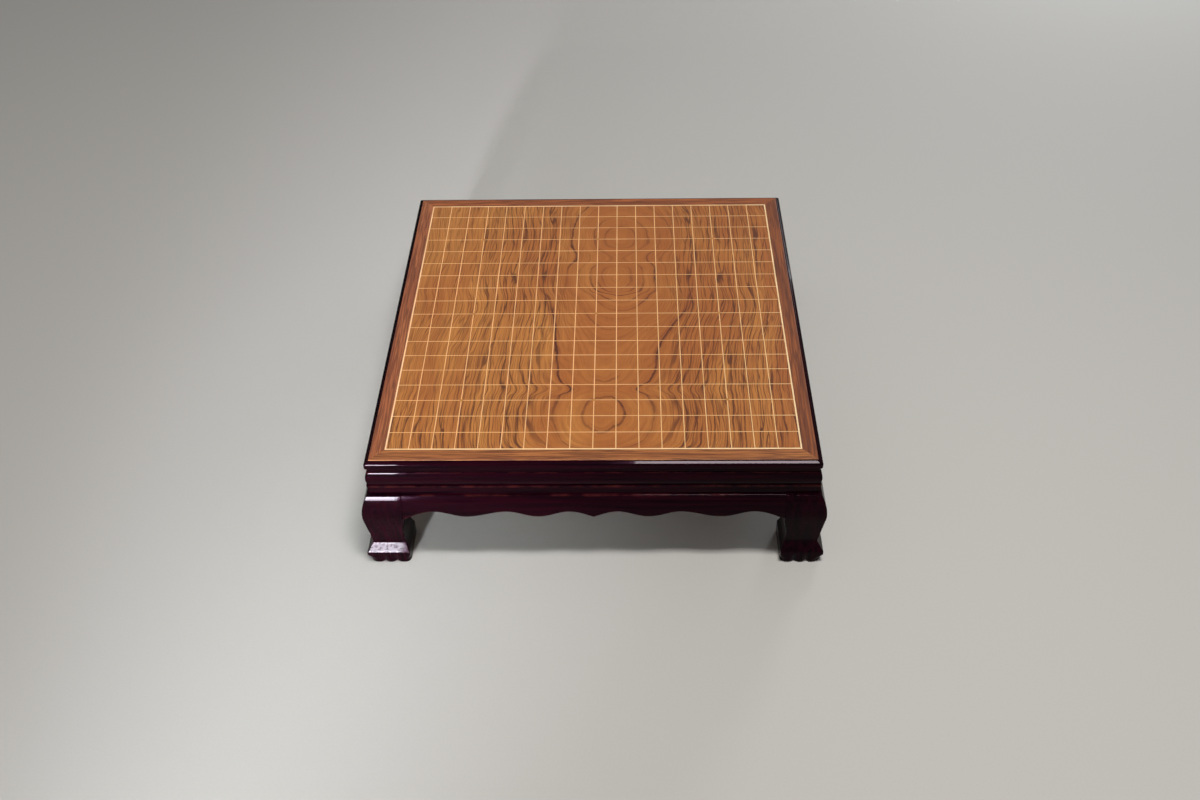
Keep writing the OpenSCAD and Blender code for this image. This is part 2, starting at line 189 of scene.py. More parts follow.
# Growth rings of the face veneer, from front (0) to back (1): the line they open along and how deep
# they lie, both in tenths of a metre, then each dark line: its radius in millimetres, its strength
# left and right of the middle, and its strength along the board
FIELD_HALF, TENTH = 234, 100
HEART = ((0, 0.09), (0.205, 0.105), (0.365, 0.155), (0.44, 0.21), (0.547, 0.29), (0.63, 0.25),
         (0.714, 0.26), (0.835, 0.3), (1, 0.26))
RING_DEPTH = ((0, 0.93), (0.056, 0.801), (0.12, 0.767), (0.18, 0.801), (0.205, 0.869),
              (0.233, 0.801), (0.365, 0.724), (0.44, 0.64), (0.515, 0.49), (0.547, 0.42),
              (0.579, 0.34), (0.6, 0.21), (0.665, 0.1), (0.714, 0.24), (0.739, 0.34),
              (0.778, 0.25), (0.835, 0.08), (0.895, 0.2), (0.942, 0.35), (1, 0.52))
DARK_LINES = (
    (95, 1, 1, ((0, 0.7), (0.12, 0.55), (0.2, 0.95), (0.5, 0.95), (0.6, 0.5), (0.68, 0), (1, 0))),
    (80, 0.6, 1, ((0, 0.5), (0.05, 1), (0.18, 0.9), (0.24, 0.6), (0.3, 0), (1, 0))),
    (65, 1, 0.35, ((0, 0), (0.4, 0), (0.45, 0.45), (0.55, 0.25), (0.7, 0.7), (0.8, 1), (1, 0.9))),
    (50, 0.4, 1, ((0, 0), (0.48, 0), (0.52, 0.7), (0.6, 0.8), (0.72, 0.9), (0.8, 0.3), (1, 0.2))),
    (42, 0.9, 0.7, ((0, 0), (0.53, 0), (0.56, 0.8), (0.6, 0.5), (0.64, 0), (1, 0))),
    (35, 1, 0.8, ((0, 0), (0.55, 0), (0.58, 1), (0.64, 0.5), (0.74, 0.6), (0.95, 0.4), (1, 0.3))),
    (27, 0.9, 0.7, ((0, 0), (0.56, 0), (0.59, 0.9), (0.63, 0.4), (0.68, 0), (1, 0))),
    (20, 0.8, 0.8, ((0, 0), (0.57, 0), (0.6, 0.9), (0.66, 0.4), (0.8, 0.5), (0.9, 0.5), (1, 0))),
)


def figured_veneer():
    """Crown-cut veneer: lines that close into eyes along the middle, streaks at the sides."""
    s = Shader("figured_veneer")
    axes = s.add("ShaderNodeSeparateXYZ", {"Vector": s.place})
    x, y = axes.outputs["X"], axes.outputs["Y"]
    along = s.span(y, -FIELD_HALF, FIELD_HALF)
    sway = s.noise(s.scaled(s.place, (0.012, 0.009, 0)), detail=3)
    heart = s.calc("MULTIPLY", s.curve(along, HEART), TENTH)
    across = s.calc("ADD", s.calc("SUBTRACT", x, heart), s.span(sway, 0, 1, -8, 8))
    depth = s.calc("MULTIPLY", s.curve(along, RING_DEPTH), TENTH)
    shake = s.noise(s.scaled(s.place, (0.06, 0.025, 0)), detail=4, roughness=0.6)
    off_middle = s.calc("ABSOLUTE", across)

    # Round rings for the growth lines, which spread out where they run crosswise, and squarer ones
    # for the streaks, which run straight at the sides
    ring = s.calc("SQRT", s.calc("MULTIPLY_ADD", across, across, s.calc("MULTIPLY", depth, depth)))
    slope = s.calc("MAXIMUM", s.calc("DIVIDE", off_middle, ring), 0.3)
    ring = s.calc("MULTIPLY_ADD", s.span(shake, 0, 1, -5, 5), slope, ring)
    fourth_powers = s.calc("ADD", s.calc("POWER", off_middle, 4), s.calc("POWER", depth, 4))
    side = s.calc("ADD", s.calc("POWER", fourth_powers, 0.25), s.span(shake, 0, 1, -1.5, 1.5))

    def drawn_out(line, line_scale, y_scale, shift=0.0, detail=2.0):
        """Noise that is drawn out along the growth lines."""
        place = s.vector(s.calc("MULTIPLY_ADD", line, line_scale, shift),
                         s.calc("MULTIPLY", y, y_scale), shift)
        return s.noise(place, detail=detail, roughness=0.6)

    def dark_lines(core, width):
        """The growth lines, dark over a core and fading out over a width."""
        joined = 0.0
        for radius, left, right, strength in DARK_LINES:
            off = s.calc("DIVIDE", s.calc("ABSOLUTE", s.calc("SUBTRACT", ring, radius)), slope)
            share = s.calc("MULTIPLY", s.span(across, -15, 15, left, right),
                           s.curve(along, strength))
            line = s.calc("MULTIPLY", s.span(off, core, width, 1, 0), share)
            joined = s.calc("MAXIMUM", joined, line)
        return joined

    def streaks(spacing, shift, core, width):
        """Thin dark streaks beside each other, unevenly spaced and broken up along their length."""
        warp = s.span(drawn_out(side, 0.05, 0.006, shift), 0, 1, -13, 13)
        phase = s.calc("FRACT", s.calc("DIVIDE", s.calc("ADD", side, warp), spacing))
        off = s.calc("ABSOLUTE", s.calc("SUBTRACT", phase, 0.5))
        patch = s.span(drawn_out(side, 0.09, 0.012, shift + 7), 0.38, 0.56)
        return s.calc("MULTIPLY", s.span(off, core / spacing, width / spacing, 1, 0), patch)

    uneven = s.span(drawn_out(ring, 0.06, 0.03), 0.36, 0.56, 0.4, 1)
    line = s.calc("MULTIPLY", dark_lines(0.65, 1.9), uneven)
    shade = s.calc("MULTIPLY", dark_lines(0.5, 6), uneven)
    bold = s.calc("MAXIMUM", streaks(5.3, 0.3, 0.2, 0.75), streaks(7.9, 5.1, 0.25, 0.85))
    bold = s.calc("MAXIMUM", bold, streaks(12.3, 2.6, 0.3, 1.0))
    bold = s.calc("MULTIPLY", bold, s.span(off_middle, 52, 90, 0, 1))
    right_or_front = s.calc("MAXIMUM", s.span(x, -200, -110, 0.4, 1), s.span(y, -120, -170))
    bold = s.calc("MULTIPLY", bold, right_or_front)
    hairs = s.calc("MULTIPLY", streaks(2.7, 9.7, 0.15, 0.6), s.span(off_middle, 35, 80, 0.1, 1))
    wide = drawn_out(ring, 0.06, 0.003, detail=4)
    fine = drawn_out(ring, 0.75, 0.011, detail=3)
    pores = s.span(s.noise(s.scaled(s.place, (1.6, 0.05, 0)), detail=2, roughness=0.6), 0.56, 0.7)
    redder = s.calc("MULTIPLY", s.span(x, -140, 60, -0.07, 0.12), s.span(y, -150, -30))
    redder = s.calc("ADD", redder, s.span(off_middle, 20, 80, 0.16, 0))
    blush = s.calc("ADD", s.noise(s.scaled(s.place, (0.012, 0.005, 0)), detail=2), redder)

    tone = s.mix(s.span(wide, 0.36, 0.66), srgb(195, 131, 65), srgb(174, 108, 52))
    tone = s.mix(s.span(blush, 0.44, 0.66, 0, 0.6), tone, srgb(152, 80, 36))
    tone = s.mix(s.span(fine, 0.4, 0.72, 0, 0.5), tone, srgb(132, 72, 34))
    tone = s.mix(s.calc("MULTIPLY", shade, 0.35), tone, srgb(126, 66, 34))
    tone = s.mix(s.calc("MULTIPLY", hairs, 0.6), tone, srgb(106, 56, 28))
    tone = s.mix(s.calc("MULTIPLY", bold, 0.9), tone, srgb(82, 38, 24))
    tone = s.mix(s.calc("MULTIPLY", line, 0.95), tone, srgb(80, 34, 26))
    tone = s.mix(s.calc("MULTIPLY", pores, 0.3), tone, srgb(100, 56, 28))
    s.set(Base_Color=tone, **s.satin(fine), Normal=s.bump(s.calc("ADD", pores, line), 0.12, -0.12))
    return s.material


def border_veneer(name, along_x, light, dark):
    """Straight-grained veneer with the grain along its strip."""
    s = Shader(name)
    long, wide = 0.006, 0.16
    stretch = (long, wide, 0) if along_x else (wide, long, 0)

    def grain(finer, detail=2.0):
        return s.noise(s.scaled(s.place, tuple(finer * value for value in stretch)), detail=detail)

    streak = s.span(s.calc("ABSOLUTE", s.calc("SUBTRACT", grain(1.7), 0.5)), 0.02, 0.07, 1, 0)
    fine = grain(6, detail=3)
    pores = s.span(grain(14), 0.56, 0.7)
    tone = s.mix(s.span(grain(1, detail=4), 0.36, 0.66), light, dark)
    tone = s.mix(s.span(fine, 0.4, 0.7, 0, 0.65), tone, srgb(108, 58, 38))
    tone = s.mix(s.calc("MULTIPLY", streak, 0.6), tone, srgb(78, 38, 28))
    tone = s.mix(s.calc("MULTIPLY", pores, 0.35), tone, srgb(82, 44, 32))
    s.set(Base_Color=tone, **s.satin(fine), Normal=s.bump(pores, 0.12, -0.12))
    return s.material


def cream_inlay(name, stretch, light, dark):
    """Pale straight-grained wood for the inlaid lines, a little uneven along each strip."""
    s = Shader(name)
    grain = s.noise(s.scaled(s.place, stretch), detail=3, roughness=0.6)
    patch = s.noise(s.scaled(s.place, (0.03, 0.03, 0)), detail=3)
    tone = s.mix(s.span(grain, 0.35, 0.7), light, dark)
    tone = s.mix(s.span(patch, 0.42, 0.72, 0, 0.45), tone, srgb(196, 146, 88))
    s.set(Base_Color=tone, **s.satin(grain), Normal=s.bump(grain, 0.06, 0.1))
    return s.material


def amber_dot():
    """Round plugs of amber-coloured wood, end grain up."""
    s = Shader("amber_dot")
    grain = s.noise(s.place, scale=1.4, detail=3)
    tone = s.mix(s.span(grain, 0.35, 0.7), srgb(196, 140, 66), srgb(158, 100, 42))
    s.set(Base_Color=tone, Roughness=s.span(grain, 0.3, 0.7, 0.25, 0.38),
          Coat_Weight=0.3, Coat_Roughness=0.15, Normal=s.bump(grain, 0.08, 0.1))
    return s.material


LACQUER_SHEEN = srgb(231, 160, 212)


def dark_lacquer(name, stretch):
    """Gloss maroon lacquer over hardwood: faint grain, arrises worn a little, scuffed feet."""
    s = Shader(name)
    grain = s.noise(s.scaled(s.place, stretch), detail=4, roughness=0.62)
    ripple = s.noise(s.place, scale=0.09, detail=2)
    smear = s.noise(s.place, scale=0.025, detail=4, roughness=0.65)
    wear = s.add("ShaderNodeAttribute", attribute_name="edge_wear").outputs["Fac"]
    rub = s.calc("MULTIPLY", wear, s.span(s.noise(s.place, scale=0.06, detail=5), 0.42, 0.7))
    tone = s.mix(s.span(grain, 0.36, 0.68), srgb(29, 3, 11), srgb(6, 1, 4))
    tone = s.mix(s.calc("MULTIPLY", rub, 0.35), tone, srgb(92, 38, 34))
    rough = s.calc("ADD", s.span(smear, 0.3, 0.75, 0.07, 0.14), s.calc("MULTIPLY", rub, 0.1))
    foot = s.span(s.add("ShaderNodeSeparateXYZ", {"Vector": s.place}).outputs["Z"], 34, 28)
    scuffs = s.span(s.noise(s.place, scale=0.42, detail=3), 0.54, 0.64, 0, -3)
    scuffs = s.calc("MULTIPLY", scuffs, foot)
    height = s.calc("ADD", s.calc("MULTIPLY_ADD", grain, 0.35, ripple), scuffs)
    relief = s.bump(height, 0.1, 0.12)
    s.set(Base_Color=tone, Roughness=rough, Specular_IOR_Level=0.02, Specular_Tint=LACQUER_SHEEN,
          Coat_Weight=0.075, Coat_Roughness=0.03, Normal=relief, Coat_Normal=relief)
    return s.material


def plain_hardwood(name, stretch, light, dark):
    """Bare straight-grained wood, sanded and unfinished."""
    s = Shader(name)
    grain = s.noise(s.scaled(s.place, stretch), detail=4, roughness=0.6)
    pores = s.span(s.noise(s.scaled(s.place, tuple(6 * value for value in stretch))), 0.56, 0.72)
    tone = s.mix(s.span(grain, 0.34, 0.7), light, dark)
    tone = s.mix(s.calc("MULTIPLY", pores, 0.35), tone, srgb(84, 56, 36))
    s.set(Base_Color=tone, Roughness=s.span(grain, 0.3, 0.7, 0.55, 0.7),
          Normal=s.bump(s.calc("ADD", grain, pores), 0.15, 0.2))
    return s.material


def plated_steel():
    """Zinc-plated screws, dulled."""
    s = Shader("plated_steel")
    cloud = s.noise(s.place, scale=0.9, detail=3)
    tone = s.mix(cloud, srgb(196, 194, 186), srgb(150, 146, 136))
    s.set(Base_Color=tone, Metallic=1.0, Roughness=s.span(cloud, 0.3, 0.7, 0.3, 0.5),
          Normal=s.bump(cloud, 0.08, 0.05))
    return s.material


def pale_floor():
    """Matt pale floor with a faint speck."""
    s = Shader("pale_floor")
    speck = s.noise(s.place, scale=0.4, detail=3)
    s.set(Base_Color=s.mix(speck, srgb(192, 190, 186), srgb(198, 196, 192)), Roughness=0.8,
          Specular_IOR_Level=0.2)
    return s.material


GRAIN_X, GRAIN_Y, GRAIN_Z = (0.008, 0.22, 0.22), (0.22, 0.008, 0.22), (0.22, 0.22, 0.008)
CREAM_X, CREAM_Y, CREAM_FRAME = (0.02, 1.6, 0), (1.6, 0.02, 0), (0.02, 0.02, 0)
veneer = figured_veneer()
# The four sides' tones differ as painted light and shade, following how the light falls on each
# side: lighter on the front and left, darker at the back, darkest on the right
borders_painted_by_side = {
    "front": border_veneer("border_veneer_front", True, srgb(184, 118, 64), srgb(148, 90, 50)),
    "right": border_veneer("border_veneer_right", False, srgb(158, 90, 46), srgb(108, 58, 34)),
    "back": border_veneer("border_veneer_back", True, srgb(180, 102, 54), srgb(128, 70, 38)),
    "left": border_veneer("border_veneer_left", False, srgb(182, 112, 70), srgb(142, 80, 52)),
}
cream_x = cream_inlay(
    "cream_inlay_crosswise", CREAM_X, srgb(238, 198, 146), srgb(214, 170, 116))
cream_y = cream_inlay(
    "cream_inlay_lengthwise", CREAM_Y, srgb(244, 202, 148), srgb(220, 174, 118))
cream_frame = cream_inlay(
    "cream_frame_line", CREAM_FRAME, srgb(252, 222, 176), srgb(238, 200, 148))
amber = amber_dot()
lacquer_x = dark_lacquer("dark_lacquer_crosswise", GRAIN_X)
lacquer_y = dark_lacquer("dark_lacquer_lengthwise", GRAIN_Y)
lacquer_z = dark_lacquer("dark_lacquer_upright", GRAIN_Z)
ply = plain_hardwood("plywood", (0.01, 0.3, 0.8), srgb(206, 176, 132), srgb(176, 138, 96))
backing = plain_hardwood("backing_veneer", (0.35, 0.006, 0), srgb(176, 138, 98), srgb(140, 102, 68))
hardwood = plain_hardwood("plain_hardwood", GRAIN_X, srgb(168, 126, 86), srgb(128, 90, 58))
steel = plated_steel()


class Section:
    """A section drawn in the plane x = 0: y is outward from the panel's edge, z is up."""

    def __init__(self, bm, y, z):
        self.bm = bm
        self.first = self.last = bm.verts.new((0, y, z))

    def line(self, y, z):
        step = Vector((0, y, z)) - self.last.co
        self.last = bmesh.ops.extrude_vert_indiv(self.bm, verts=[self.last])["verts"][0]
        bmesh.ops.translate(self.bm, verts=[self.last], vec=step)

    def line_in_steps(self, end, steps):
        start = Vector(self.last.co.yz)
        for step in range(1, steps + 1):
            self.line(*start.lerp(end, step / steps))

    def arc(self, mid, degrees, steps):
        turned = bmesh.ops.spin(
            self.bm, geom=[self.last], cent=(0, *mid), axis=(1, 0, 0),
            angle=math.radians(degrees), steps=steps, use_duplicate=False)["geom_last"]
        self.last = next(item for item in turned if isinstance(item, bmesh.types.BMVert))

    def close(self):
        self.bm.edges.new((self.last, self.first))
        bmesh.ops.contextual_create(self.bm, geom=self.bm.edges[:])


def new_bmesh():
    """An empty mesh that can mark its worn edges."""
    bm = bmesh.new()
    bm.verts.layers.float.new("edge_wear")
    return bm


def ease_edges(bm, edges, width, segments=2):
    """Rounds edges a little and marks the rounding as worn."""
    made = bmesh.ops.bevel(bm, geom=edges, offset=width, offset_type="OFFSET", segments=segments,
                           profile=0.5, affect="EDGES", material=-1, clamp_overlap=True)
    wear = bm.verts.layers.float["edge_wear"]
    for vert in made["verts"]:
        vert[wear] = 1.0


def sharp_edges(bm, degrees):
    """Edges whose two faces turn by more than an angle."""
    limit = math.radians(degrees)
    return [e for e in bm.edges if len(e.link_faces) == 2 and e.calc_face_angle() > limit]


def add_piece(bm, material, node):
    """Turns a mesh that is drawn in millimetres into a piece that stands for a node."""
    bmesh.ops.scale(bm, vec=(MM, MM, MM), verts=bm.verts[:])
    bmesh.ops.recalc_face_normals(bm, faces=bm.faces[:])
    for face in bm.faces:
        face.smooth = True
    for edge in sharp_edges(bm, SHARP_FROM):
        edge.smooth = False
    mesh = bpy.data.meshes.new(node + "_skin")
    bm.to_mesh(mesh)
    bm.free()
    mesh.materials.append(material)
    piece = bpy.data.objects.new(node + "_skin", mesh)
    bpy.context.scene.collection.objects.link(piece)
    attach(piece, "root")
    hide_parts(node)
    return piece


def turn_to_side(bm, side):
    """Moves what is drawn about the back edge of the panel to its side."""
    across = panel_half.y if side % 2 == 0 else panel_half.x
    place = Matrix.Rotation(math.radians(90 * side), 4, "Z") @ Matrix.Translation((0, across, 0))
    bmesh.ops.transform(bm, matrix=place, verts=bm.verts[:])


def side_run(side):
    """Half the panel's length along a side."""
    return panel_half.x if side % 2 == 0 else panel_half.y


def along_side(side, crosswise, lengthwise):
    """The one of two that suits how a side runs."""
    return crosswise if side % 2 == 0 else lengthwise


def new_verts(made):
    return [item for item in made["geom"] if isinstance(item, bmesh.types.BMVert)]


def extrude_face(bm, face):
    """Extrudes a face with its edges, which leaves no face inside, and gives the new face."""
    made = bmesh.ops.extrude_face_region(bm, geom=[face, *face.edges])["geom"]
    return next(item for item in made if isinstance(item, bmesh.types.BMFace))


def run_to_mitres(bm, half_run):
    """Extrudes a section both ways to its mitres, with the outer corner of each mitre rounded."""
    reach = bm.verts.layers.float.new("reach")
    for vert in bm.verts:
        vert[reach] = vert.co.y
    for sign in (1, -1):
        face = next(item for item in bm.faces if all(abs(v.co.x) < 0.01 for v in item.verts))
        for step in (-1, 0, 1, 2, 3, 4):
            turn = math.radians(45) * max(0, step) / 4
            face = extrude_face(bm, face)
            for vert in face.verts:
                out = vert[reach]
                outer = out > PANEL_GAP
                short = MITRE_R * (1 - (math.sin(turn) if outer else step / 4)) - min(0, step)
                vert.co.x = sign * (half_run + out - short)
                vert.co.y = out - (MITRE_R * (1 - math.cos(turn)) if outer else 0)


def edge_moulding(side):
    """A rail of the frame: fillet, torus, neck and rounded lip, mitred at both ends."""
    bm = new_bmesh()
    torus_z = RAIL_Z + FILLET_H
    lip_z = LEDGE_Z - LIP_H
    neck_z = lip_z - NECK_H
    torus_mid = (TORUS_REACH - TORUS_R, torus_z + TORUS_FULL)
    low = math.asin((torus_z - torus_mid[1]) / TORUS_R)
    high = math.asin((neck_z - torus_mid[1]) / TORUS_R)
    pen = Section(bm, -SEAT_W, RAIL_Z)
    pen.line(FILLET_REACH, RAIL_Z)
    pen.line(FILLET_REACH, torus_z)
    pen.line(torus_mid[0] + TORUS_R * math.cos(low), torus_z)
    pen.arc(torus_mid, math.degrees(high - low), 12)
    pen.line(NECK_REACH, neck_z)
    pen.line(NECK_REACH, lip_z)
    pen.line(LIP_REACH - LIP_UNDER_R, lip_z)
    pen.arc((LIP_REACH - LIP_UNDER_R, lip_z + LIP_UNDER_R), 90, 5)
    pen.line(LIP_REACH, LEDGE_Z - LIP_R)
    lip_mid = Vector((LIP_REACH - LIP_R, LEDGE_Z - LIP_R))
    flat_low, flat_high = (lip_mid + LIP_R * Vector((math.cos(turn), math.sin(turn)))
                           for turn in map(math.radians, LIP_FLAT))
    pen.arc(lip_mid, LIP_FLAT[0], 5)
    for share in (0.1, 0.9, 1):
        pen.line(*flat_low.lerp(flat_high, share))
    pen.line(lip_mid.x, LEDGE_Z)
    pen.line(PANEL_GAP, LEDGE_Z)
    pen.line(PANEL_GAP, seat_z)
    pen.line(-SEAT_W, seat_z)
    pen.close()
    run_to_mitres(bm, side_run(side))
    bmesh.ops.recalc_face_normals(bm, faces=bm.faces[:])
    reach = bm.verts.layers.float["reach"]
    along = [e for e in sharp_edges(bm, 40) if e.is_convex
             and abs(e.verts[0][reach] - e.verts[1][reach]) < 0.01
             and abs(e.verts[0].co.z - e.verts[1].co.z) < 0.01]
    ease_edges(bm, along, MOULDING_ARRIS)
    bm.verts.layers.float.remove(reach)
    turn_to_side(bm, side)
    add_piece(bm, along_side(side, lacquer_x, lacquer_y),
              "edge_moulding_" + SIDES[side])


def belly_reach(z, set_back):
    """How far the bulged face of apron and leg stands out at a height."""
    rise = z - (LEG_H - BELLY_DROP)
    return BELLY_REACH - BELLY_R + math.sqrt((BELLY_R - set_back) ** 2 - rise ** 2)


def scallop_drop(share):
    """Drop of the scalloped edge below its crests, from an apron's middle (0) to its end (1)."""
    drops = (POINT_DEPTH, 0, LOBE_DEPTH, 0, LOBE_DEPTH, 0, LEG_H - CREST_DROP - SPUR_Z)
    last = len(drops) - 2
    span = min(last, max(i for i in range(len(drops)) if SCALLOP_SHARES[i] <= share))
    t = (share - SCALLOP_SHARES[span]) / (SCALLOP_SHARES[span + 1] - SCALLOP_SHARES[span])
    if span == 0:
        ease = math.sin(math.pi / 2 * t)
    elif span == last:
        ease = 1 - math.cos(math.pi / 2 * t)
    else:
        ease = (1 - math.cos(math.pi * t)) / 2
    return drops[span] + ease * (drops[span + 1] - drops[span])


def apron(side):
    """A bulged board with a scalloped lower edge, pointed in the middle and at both ends."""
    bm = new_bmesh()
    bmesh.ops.create_grid(bm, **APRON_STEPS, size=1)
    half_run = side_run(side) - LEG_IN - APRON_GAP
    for vert in bm.verts:
        edge_z = LEG_H - CREST_DROP - scallop_drop(abs(vert.co.x))
        z = edge_z + (vert.co.y + 1) / 2 * (LEG_H - edge_z)
        vert.co = (vert.co.x * half_run, belly_reach(z, APRON_SET), z)
    back = new_verts(bmesh.ops.extrude_face_region(bm, geom=bm.faces[:]))
    flat = Matrix(((1, 0, 0, 0), (0, 0, 0, WAIST_BACK), (0, 0, 1, 0), (0, 0, 0, 1)))
    bmesh.ops.transform(bm, matrix=flat, verts=back)
    bmesh.ops.recalc_face_normals(bm, faces=bm.faces[:])
    front = [e for e in sharp_edges(bm, 40)
             if min(v.co.y for v in e.verts) > WAIST_BACK + 1
             and abs(e.verts[0].co.x - e.verts[1].co.x) > 0.1]
    ease_edges(bm, front, ARRIS)
    turn_to_side(bm, side)
    add_piece(bm, along_side(side, lacquer_x, lacquer_y), "apron_" + SIDES[side])


def leg_outline():
    """Outer line of a leg from the sole up, as (outward, height) points, and its toes' height."""
    bm = bmesh.new()
    belly_mid = Vector((BELLY_REACH - BELLY_R, LEG_H - BELLY_DROP))
    ankle = Vector((ANKLE_REACH, ANKLE_Z))
    to_ankle = ankle - belly_mid
    taper = math.atan2(to_ankle.y, to_ankle.x) + math.acos(BELLY_R / to_ankle.length)
    taper_out = Vector((math.cos(taper), math.sin(taper)))
    taper_top = belly_mid + BELLY_R * taper_out
    ankle_mid = ankle + (ANKLE_R - APRON_GAP) * taper_out
    instep = ankle_mid - ANKLE_R * Vector((math.cos(INSTEP_TILT), math.sin(INSTEP_TILT)))
    toe_top = Vector((TOE_REACH, instep.y - (TOE_REACH - instep.x) / math.tan(INSTEP_TILT)))
    shoulder = math.asin(BELLY_DROP / BELLY_R)
    pen = Section(bm, TOE_REACH - SOLE_R, 0)
    pen.arc((TOE_REACH - SOLE_R, SOLE_R), 90, 5)
    pen.line_in_steps(toe_top, 7)
    pen.line_in_steps(instep, 4)
    pen.arc(ankle_mid, math.degrees(taper - INSTEP_TILT), 8)
    pen.line_in_steps(taper_top, 8)
    pen.arc(belly_mid, math.degrees(shoulder - taper), 16)
    outline = [(vert.co.y, vert.co.z) for vert in bm.verts]
    bm.free()
    return outline, toe_top.y


LEG_OUTLINE, TOE_TOP = leg_outline()


def inner_reach(z):
    """Inner line of a leg: upright at the foot, then hollow up to just under the apron's spur."""
    low, high = Vector((-FOOT_IN, TOE_TOP)), Vector((-LEG_IN, SPUR_Z - INNER_FLAT))
    if z <= low.y:
        return low.x
    if z >= high.y:
        return high.x
    run = high - low
    out = Vector((run.y, -run.x)).normalized()
    radius = (run.length_squared / 4 + INNER_HOLLOW ** 2) / (2 * INNER_HOLLOW)
    mid = (low + high) / 2 - (radius - INNER_HOLLOW) * out
    return mid.x + math.sqrt(radius ** 2 - (z - mid.y) ** 2)


def toe_push(along, z):
    """How far a point of the foot's face goes in, at a distance from the outer corner."""
    height = max(0.0, 1 - z / CLEFT_H)
    return CLEFT_DEPTH * height * sum(
        max(0.0, 1 - abs(along - cleft) / CLEFT_W) ** 1.6 for cleft in TOE_CLEFTS)


def round_corner(vert, corner, outward, radius):
    """Draws a corner of the foot in to a radius in plan."""
    arm = Vector(((vert.co.x - corner[0]) * outward[0] + radius,
                  (vert.co.y - corner[1]) * outward[1] + radius))
    if min(arm) > 0 and arm.length > radius:
        arm *= radius / arm.length
        vert.co.x = corner[0] + (arm.x - radius) * outward[0]
        vert.co.y = corner[1] + (arm.y - radius) * outward[1]


def shape_foot(bm):
    """Rounds the corners of the foot and parts its toes, most at the floor."""
    for vert in bm.verts:
        x, y, z = vert.co
        if z > TOE_TOP:
            continue
        if y >= x:
            vert.co.y -= toe_push(TOE_REACH - x, z)
        else:
            vert.co.x -= toe_push(TOE_REACH - y, z)
        low = max(0.0, 1 - (z / TOE_H) ** 2)
        round_corner(vert, (TOE_REACH, TOE_REACH), (1, 1), CORNER_TOE_R * low)
        round_corner(vert, (-FOOT_IN, TOE_REACH), (-1, 1), INNER_TOE_R * low)
        round_corner(vert, (TOE_REACH, -FOOT_IN), (1, -1), INNER_TOE_R * low)


def leg(corner, x_sign, y_sign):
    """A cabriole leg: a square lofted along its outer and inner lines, toes cut in the foot."""
    bm = new_bmesh()
    rings = [(outer, inner_reach(z), z) for outer, z in LEG_OUTLINE]
    rings += [(WAIST_BACK, -LEG_IN, LEG_H + 0.02), (WAIST_BACK, -LEG_IN, RAIL_Z)]
    cap = bmesh.ops.create_grid(bm, x_segments=1, y_segments=1, size=0.5)["verts"]
    face = cap[0].link_faces[0]
    size, mid = 1.0, Vector((0, 0, 0))
    for i, (outer, inner, z) in enumerate(rings):
        if i:
            face = extrude_face(bm, face)
            cap = face.verts[:]
        new_mid = Vector(((outer + inner) / 2, (outer + inner) / 2, z))
        grow = (outer - inner) / size
        bmesh.ops.scale(bm, vec=(grow, grow, 1), space=Matrix.Translation(-mid), verts=cap)
        bmesh.ops.translate(bm, vec=new_mid - mid, verts=cap)
        size, mid = outer - inner, new_mid
    bmesh.ops.recalc_face_normals(bm, faces=bm.faces[:])
    arrises = [e for e in sharp_edges(bm, 25) if e.is_convex
               and max(v.co.z for v in e.verts) <= LEG_H + 0.01]
    ease_edges(bm, arrises, ARRIS)
    level = [e for e in bm.edges if abs(e.verts[0].co.z - e.verts[1].co.z) < LEVEL_WITHIN
             and e.calc_length() > LEVEL_LENGTH]
    worn = set(bm.verts)
    bmesh.ops.subdivide_edges(bm, edges=level, cuts=LEG_CUTS, use_grid_fill=True)
    wear = bm.verts.layers.float["edge_wear"]
    for vert in bm.verts:
        if vert not in worn:
            vert[wear] = 0.0
    shape_foot(bm)
    place = Matrix.Diagonal((x_sign, y_sign, 1, 1)) @ Matrix.Translation(
        (panel_half.x, panel_half.y, 0))
    bmesh.ops.transform(bm, matrix=place, verts=bm.verts[:])
    add_piece(bm, lacquer_z, "leg_" + corner)


for number in range(4):
    edge_moulding(number)
    apron(number)
leg("front_left", -1, -1)
leg("front_right", 1, -1)
leg("back_left", -1, 1)
leg("back_right", 1, 1)


def finish_node(name, material):
    """Gives a solid of the source its finish."""
    slots = nodes[name].data.materials
    slots.clear()
    slots.append(material)


for name, material in (
        ("field_veneer", veneer), ("inlay_lengthwise", cream_y), ("inlay_crosswise", cream_x),
        ("star_points", amber), ("panel_core", ply), ("backing_veneer", backing),
        ("batten_front", hardwood), ("batten_back", hardwood), ("mitre_splines", ply),
        ("glue_blocks", hardwood), ("block_screws", steel)):
    finish_node(name, material)
for number, side_name in enumerate(SIDES):
    finish_node("frame_line_" + side_name, cream_frame)
    finish_node("border_" + side_name, borders_painted_by_side[side_name])
    finish_node("waist_" + side_name, along_side(number, lacquer_x, lacquer_y))
    for kind in ("edge_moulding_", "apron_"):
        finish_node(kind + side_name, along_side(number, lacquer_x, lacquer_y))
for corner in ("front_left", "front_right", "back_left", "back_right"):
    finish_node("leg_" + corner, lacquer_z)


# Stage: floor, light and camera, in metres
FLOOR_HALF = 6
floor_mesh = bmesh.new()
bmesh.ops.create_grid(floor_mesh, x_segments=1, y_segments=1, size=FLOOR_HALF)
floor_data = bpy.data.meshes.new("floor")
floor_mesh.to_mesh(floor_data)
floor_mesh.free()
floor_data.materials.append(pale_floor())
floor = bpy.data.objects.new("floor", floor_data)
bpy.context.scene.collection.objects.link(floor)


